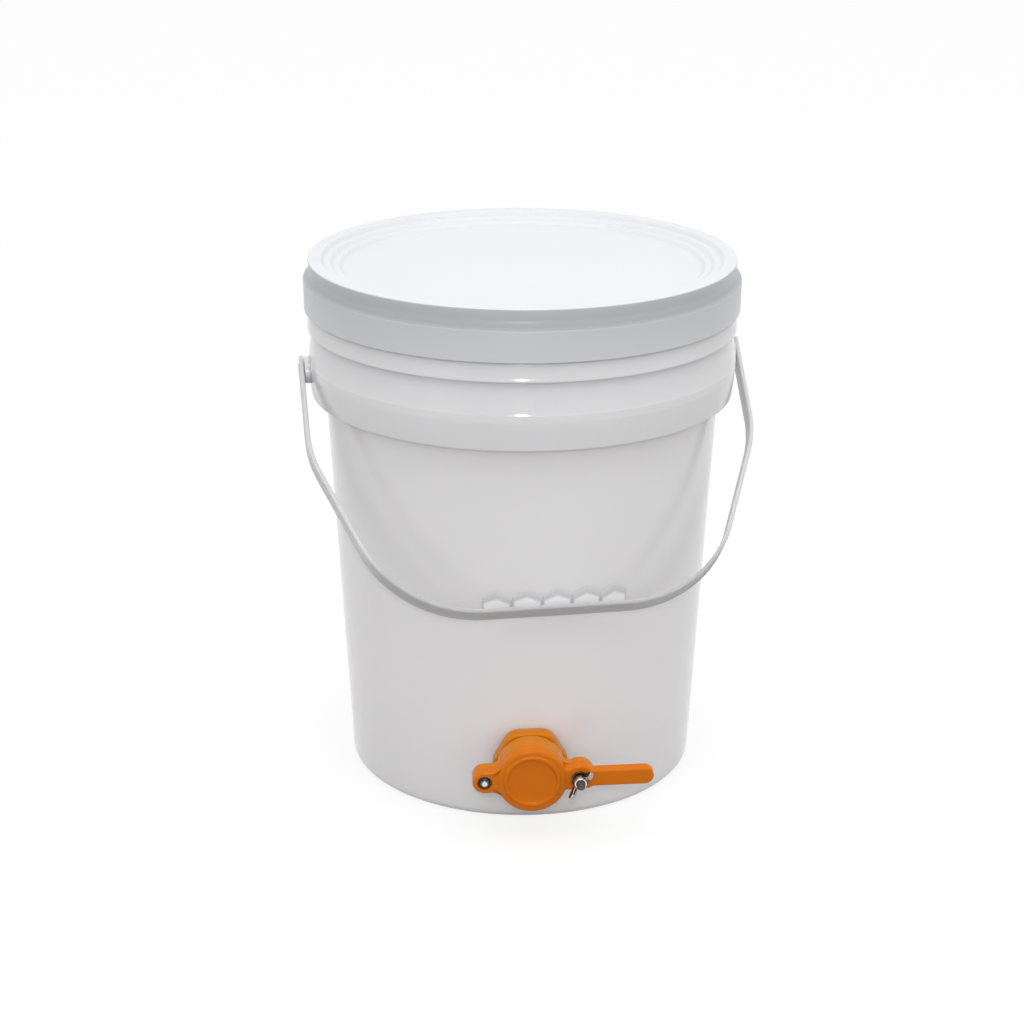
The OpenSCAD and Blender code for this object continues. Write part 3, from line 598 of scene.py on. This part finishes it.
# outline of a lug that flares into the seat, mirrored for the other side
def lugLine(x, r):
    start = 180 + math.degrees(math.asin(lugR / r))
    flare = np.array([*gate["flare"], (gate["flareX"], -lugR)])
    line = np.vstack([flare, arc(abs(x), 0, r, start, 720 - start, 40), flare[::-1] * (1, -1)])
    return softened(line if x > 0 else (line * (-1, 1))[::-1], 0.7, 0.9)


boreR, spigotR, tip = gate["boreR"], gate["spigotR"], gate["spigotTip"]
seatZ, faceZ, grooveZ = gate["seatZ"], gate["faceZ"], gate["faceZ"] - gate["grooveDeep"]
threadZ = np.arange(tip + 1.4, gate["threadEnd"], gate["threadPitch"] / 8)
footR = spigotR - 0.6
footLine = rounded([(boreR, 0, 0), (boreR, tip, 0.6), (footR, tip, 0.6), (footR, tip + 1.2, 0)])
headLine = rounded([
    (spigotR, -1.0, 0), (spigotR, seatZ, 0.5), (seatR, seatZ, 0.9), (seatR, faceZ, 0.6),
    (gate["grooveOut"], faceZ, 0.3), (gate["grooveOut"], grooveZ, 0.3),
    (gate["grooveIn"], grooveZ, 0.3), (gate["grooveIn"], faceZ, 0.3), (boreR, faceZ, 0.5), (boreR, 0.2, 0),
], steps=5)
tubeLine = np.vstack([plainRows(footLine), threadRows(spigotR, threadZ), plainRows(headLine)])
tube = lathe(tubeLine, 120, True, (gate["threadDepth"], gate["threadPitch"]))
flangeLine = sixSided(gate["flangeAf"], gate["flangeRound"])
flange = plate(flangeLine, gate["flangeZ"], gate["neckZ"], 1.8, 0.4, (0, 0, gate["flangeHole"]))
pivotLug, clampLug = lugLine(pivotX, lugR), lugLine(clampX, clampR)
pivotEar = plate(pivotLug, gate["earZ"], faceZ, 0.5, 1.4, (pivotX, 0, gate["pivotHole"]))
clampEar = plate(clampLug, gate["earZ"], faceZ, 0.5, 1.4, (clampX, 0, gate["clampHole"]))
gateParts = [onGate(part) for part in (tube, flange, pivotEar, clampEar)]
makePiece("gateHousing", gateParts, gatePlastic, "pail", ["gate_body"])
lockLine, lockBack = sixSided(gate["lockAf"], gate["lockRound"]), gate["lockFace"] - gate["lockT"]
lockNut = plate(lockLine, lockBack, gate["lockFace"], 0.5, 1.4, (0, 0, gate["lockHole"]))
makePiece("lockNutHex", [onGate(lockNut)], gatePlastic, "pail", ["gate_lock_nut"])
sealIn, sealOut = gate["grooveIn"] + gate["sealGap"], gate["grooveOut"] - gate["sealGap"]
seatSeal = ring(sealIn, sealOut, grooveZ, faceZ, 0.5, 72)
makePiece("seatSealRing", [onGate(seatSeal)], rubber, "pail", ["gate_seal_ring"])

# Blade: disc, two lugs and handle in one outline, with the slot that lets it swing clear of the clamp bolt
blade = dict(
    backZ=24.6, frontZ=31.6, backRound=0.6, frontRound=1.8, sinkZ=29.2, sinkR=5.2,
    handleFrom=45, handleEnd=84.5, handleHalf=6.5, handleRound=6.1,
    slotR=3.4, mouthDeep=5.0, mouthRound=2.4, mouthFrom=24.0, mouthCorner=(28.9, -9.3),
    mouthAngles=(286, 311),
    crownBackZ=27, crownBackR=22, crownSideZ=29.4, crownGap=0.06, crownZ=32.4, crownRound=2.5,
    ringZ=33.4, recessZ=31.9, ringOut=19.8, ringIn=16.6,
)
reach = clampX - pivotX
discA = math.degrees(math.asin(lugR / seatR))
barA = math.degrees(math.asin(lugR / clampR))
gripA = math.degrees(math.asin(blade["handleHalf"] / clampR))
# the slot's two sides are arcs about the pivot
mouth = np.linspace(-blade["mouthDeep"], 0, 6)
slotLeft = np.stack([pivotX + np.sqrt((reach - blade["slotR"]) ** 2 - mouth ** 2), mouth], 1)
slotRight = np.stack([pivotX + np.sqrt((reach + blade["slotR"]) ** 2 - mouth ** 2), mouth], 1)[::-1]
# round corners on both sides of the slot's mouth, wider than the blade's rounded edge
leftCorner = rounded([
    (blade["mouthFrom"], -lugR, 0), (*blade["mouthCorner"], blade["mouthRound"]), (*slotLeft[0], 0),
])
edgeA, edgeB = arc(clampX, 0, clampR, *blade["mouthAngles"], 2)
rightCorner = rounded([(*slotRight[-1], 0), (*edgeA, blade["mouthRound"]), (*edgeB, 0)])
handleFrom, handleEnd, handleHalf = blade["handleFrom"], blade["handleEnd"], blade["handleHalf"]
handle = rounded([
    (handleFrom, -handleHalf, 0), (handleEnd, -handleHalf, blade["handleRound"]),
    (handleEnd, handleHalf, blade["handleRound"]), (handleFrom, handleHalf, 0),
], steps=10)
bladeLine = np.vstack([
    handle,
    arc(clampX, 0, clampR, gripA, 180 - barA, 24),
    arc(0, 0, seatR, discA, 360 - discA, 120),
    leftCorner,
    slotLeft,
    arc(clampX, 0, blade["slotR"], 180, 0, 14)[1:-1],
    slotRight,
    rightCorner,
    arc(clampX, 0, clampR, blade["mouthAngles"][1] + 1, 360 - gripA, 4),
])
backZ, frontZ = blade["backZ"], blade["frontZ"]
bladeBody = plate(softened(bladeLine, 0.5, 1.0), backZ, frontZ, blade["frontRound"], blade["backRound"])
# crown: from its back inside the blade out to the side, over the round edge, the raised ring and the recess
crownEdge = (seatR - blade["crownRound"], blade["crownZ"] - blade["crownRound"], blade["crownRound"])
crown = lathe(np.vstack([
    rounded([
        (0, blade["crownBackZ"], 0), (blade["crownBackR"], blade["crownBackZ"], 0.4),
        (seatR - blade["crownGap"], blade["crownSideZ"], 0),
    ]),
    arc(*crownEdge, 0, 80, 8),
    rounded([
        (blade["ringOut"] + 1.0, blade["crownZ"], 0), (blade["ringOut"], blade["crownZ"], 0.5),
        (blade["ringOut"] - 0.6, blade["ringZ"], 0.7), (blade["ringIn"] + 0.7, blade["ringZ"], 0.7),
        (blade["ringIn"], blade["recessZ"], 0.5), (8, blade["recessZ"], 0), (0, blade["recessZ"], 0),
    ], steps=5),
]), 120)
# pivot lug: a lower plate with the bolt's hole, and an upper one with the recess that the bolt's head sits in
lowerLug = plate(pivotLug, backZ, blade["sinkZ"], 0.0, blade["backRound"], (pivotX, 0, gate["pivotHole"]))
upperLug = plate(pivotLug, blade["sinkZ"], frontZ, blade["frontRound"], 0.0, (pivotX, 0, blade["sinkR"]))
bladeParts = [onGate(part) for part in (bladeBody, crown, lowerLug, upperLug)]
makePiece("swingBlade", bladeParts, bladePlastic, "blade", ["gate_blade"])
print("gate made")

# Fasteners
bolt = dict(
    pivotR=2.5, pivotThread=(0.4, 0.8), domeR=4.1, domeH=2.8, domeGlintR=(1.5, 2.3),
    nutAf=8, nutT=4, nutRound=0.8,
    clampR=3.0, clampThread=(0.55, 1.0), clampThreadZ=22, clampTip=43.4, headAf=10, headT=4, headRound=0.9,
    threadGap=0.02, holeGap=0.05, washerZ=31.7, sunkZ=29.3, rearZ=16.3, washerT=1.2, pivotWasherR=4.7,
    clampWasherR=6.2, wingZ=32.9, hubR=5.0, hubH=6.0, wingTurn=52, wingT=3.4,
)
rearZ, pivotR, stemR = bolt["rearZ"], bolt["pivotR"], bolt["clampR"]
headZ = bolt["sunkZ"] + bolt["washerT"]
# the dome is a cap of a ball, whose radius follows from the cap's own radius and height
domeR, domeH = bolt["domeR"], bolt["domeH"]
ball = (domeR ** 2 + domeH ** 2) / (2 * domeH)
domeA = math.degrees(math.asin((ball - domeH) / ball))
pivotTip = rearZ - bolt["nutT"] - 1.5
pivotZ = np.arange(pivotTip + 0.8, rearZ, 0.1)
pivotLine = np.vstack([
    plainRows(rounded([(0, pivotTip, 0), (pivotR - 0.6, pivotTip, 0.2), (pivotR - 0.4, pivotTip + 0.5, 0)])),
    threadRows(pivotR - bolt["threadGap"], pivotZ),
    plainRows(rounded([
        (pivotR, rearZ + 0.2, 0), (pivotR, headZ, 0.1), (domeR - 0.1, headZ, 0.1), (domeR, headZ + 0.2, 0),
    ])),
    plainRows(arc(0, headZ + domeH - ball, ball, domeA + 3, 90, 14)),
])
# painted highlight: the top of the dome is painted bright, where a glint would show
pivotPart = lathe(pivotLine, 48, thread=bolt["pivotThread"])
fromAxis = np.hypot(pivotPart[0][:, 0], pivotPart[0][:, 1])
domeGlint = np.interp(fromAxis, bolt["domeGlintR"], (1, 0)) * (pivotPart[0][:, 2] > headZ)
pivotPart = onGate(pivotPart, pivotX)
makePiece("pivotScrew", [pivotPart], steel, "pail", ["pivot_bolt"], tint=("paintedGlint", domeGlint))
clampHead, clampTip = rearZ - bolt["headT"], bolt["clampTip"]
clampZ = np.arange(bolt["clampThreadZ"], clampTip - 0.9, 0.125)
shankR = stemR - 0.1
clampLine = np.vstack([
    plainRows(rounded([(0, clampHead + 1, 0), (shankR, clampHead + 1, 0.1), (shankR, clampZ[0] - 0.4, 0)])),
    threadRows(stemR - bolt["threadGap"], clampZ),
    plainRows(rounded([(stemR - 0.5, clampTip - 0.6, 0), (stemR - 0.9, clampTip, 0.3), (0, clampTip, 0)])),
])
clampStem = lathe(clampLine, 48, thread=bolt["clampThread"])
clampHex = plate(sixSided(bolt["headAf"], bolt["headRound"]), clampHead, rearZ, 0.2, 0.6)
clampParts = [onGate(part, clampX) for part in (clampStem, clampHex)]
makePiece("clampScrew", clampParts, steel, "pail", ["clamp_bolt"])
nutLine, nutHole = sixSided(bolt["nutAf"], bolt["nutRound"]), (0, 0, pivotR + bolt["holeGap"])
nut = plate(nutLine, rearZ - bolt["nutT"], rearZ, 0.5, 0.5, nutHole)
makePiece("pivotHexNut", [onGate(nut, pivotX)], steel, "pail", ["pivot_nut"])
pivotSize = (pivotX, gate["pivotHole"], bolt["pivotWasherR"])
clampSize = (clampX, gate["clampHole"], bolt["clampWasherR"])
for name, (x, hole, edge), z, body, node in (
    ("pivotFrontRing", pivotSize, bolt["sunkZ"], "pail", "pivot_front_washer"),
    ("pivotRearRing", pivotSize, rearZ, "pail", "pivot_rear_washer"),
    ("clampRearRing", clampSize, rearZ, "pail", "clamp_rear_washer"),
    ("clampFrontRing", clampSize, bolt["washerZ"], "loose_washer", "clamp_washer"),
):
    washer = ring(hole, edge, z, z + bolt["washerT"], 0.3)
    makePiece(name, [onGate(washer, x)], steel, body, [node])
# wing: from the hub out to a round tip, with a hollow back, pressed to an even thickness
wingLine = softened(np.vstack([
    [(3.5, 0.5), (5.1, 0.5), (8.6, 2.9)],
    arc(10.0, 8.4, 2.8, -35, 130, 20),
    [(6.4, 7.3), (4.6, 5.6), (3.5, 5.5)],
]), 0.35, 0.7)
wingHalf, hubR, hubH, hubIn = bolt["wingT"] / 2, bolt["hubR"], bolt["hubH"], stemR + bolt["holeGap"]
wing = plate(wingLine, -wingHalf, wingHalf, 0.9, 0.9)
hubLine = rounded([(hubIn, 0, 0.2), (hubR, 0, 0.5), (hubR - 0.8, hubH, 0.8), (hubIn, hubH, 0.3)], closed=True)
hub = lathe(hubLine, 48, True)
nutParts = [hub] + [put(wing, [(90, "X"), (bolt["wingTurn"] + side, "Z")]) for side in (0, 180)]
# painted highlight: the hub's top edge is painted bright, and the rims of the wings half as bright
hubGlint = np.interp(hub[0][:, 2], (hubH - 1.6, hubH - 0.5), (0, 1))
wingGlint = 0.5 * (np.abs(wing[0][:, 2]) < wingHalf - 0.05)
nutGlint = np.concatenate([hubGlint, wingGlint, wingGlint])
nutParts = [onGate(part, clampX, bolt["wingZ"]) for part in nutParts]
makePiece("wingNutCast", nutParts, steel, "wing_nut", ["wing_nut"], tint=("paintedGlint", nutGlint))
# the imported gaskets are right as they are, and only get the rubber
for node in ("gate_outer_gasket", "gate_inner_gasket"):
    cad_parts[node].data.materials.clear()
    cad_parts[node].data.materials.append(rubber)
print("fasteners made")

# Honeycomb: five shallow cells moulded on the wall in a low arch, behind the grip
comb = dict(
    cells=5, pitch=20.9, gap=0.3, middle=7.6, topZ=179.65, arch=0.66, tall=20.0, shoulder=0.27, cellRound=1.2,
    proud=0.35, rim=0.72, heart=0.8, sideways=0.35, blend=0.12,
)
shoulder = comb["shoulder"]
cellX = np.array([0, -0.5, -0.5, 0, 0.5, 0.5]) * (comb["pitch"] - comb["gap"])
cellZ = np.array([0, -shoulder, shoulder - 1, -1, shoulder - 1, -shoulder]) * comb["tall"]
cellLine = rounded(np.column_stack([cellX, cellZ, np.full(6, comb["cellRound"])]), 4, closed=True)
scale = np.concatenate([[1.0, 0.985, 0.95, comb["rim"]], np.linspace(comb["rim"] - 0.04, 0, 8)])
height = np.concatenate([[-0.3, 0.6, 1.0, 1.0], np.ones(8)]) * comb["proud"]
# each ring of a cell is the outline drawn in towards a point low in the cell, and less so sideways
heart = np.array((0, -comb["heart"] * comb["tall"]))
drawnIn = np.stack([scale ** comb["sideways"], scale], 1)
cell = heart + (cellLine[:, None] - heart) * drawnIn[None]
cellParts = []
for i in range(comb["cells"]):
    k = i - (comb["cells"] - 1) / 2
    z = comb["topZ"] - comb["arch"] * k ** 2 + cell[..., 1]
    a = np.radians(-90 + comb["middle"]) + (cell[..., 0] + k * comb["pitch"]) / wallR(comb["topZ"])
    r = wallR(z) + height
    grid = np.stack([r * np.cos(a), r * np.sin(a), z], -1).reshape(-1, 3)
    cellParts.append((grid, [gridFaces(len(cellLine), len(scale), True)]))
# each cell is whiter inside its grey outline
whiter = np.interp(scale, (comb["rim"] - comb["blend"], comb["rim"]), (1, 0))
inside = np.tile(whiter, len(cellLine) * comb["cells"])
makePiece("honeycombCells", cellParts, combPlastic, "pail", tint=("inside", inside))
print("honeycomb made")
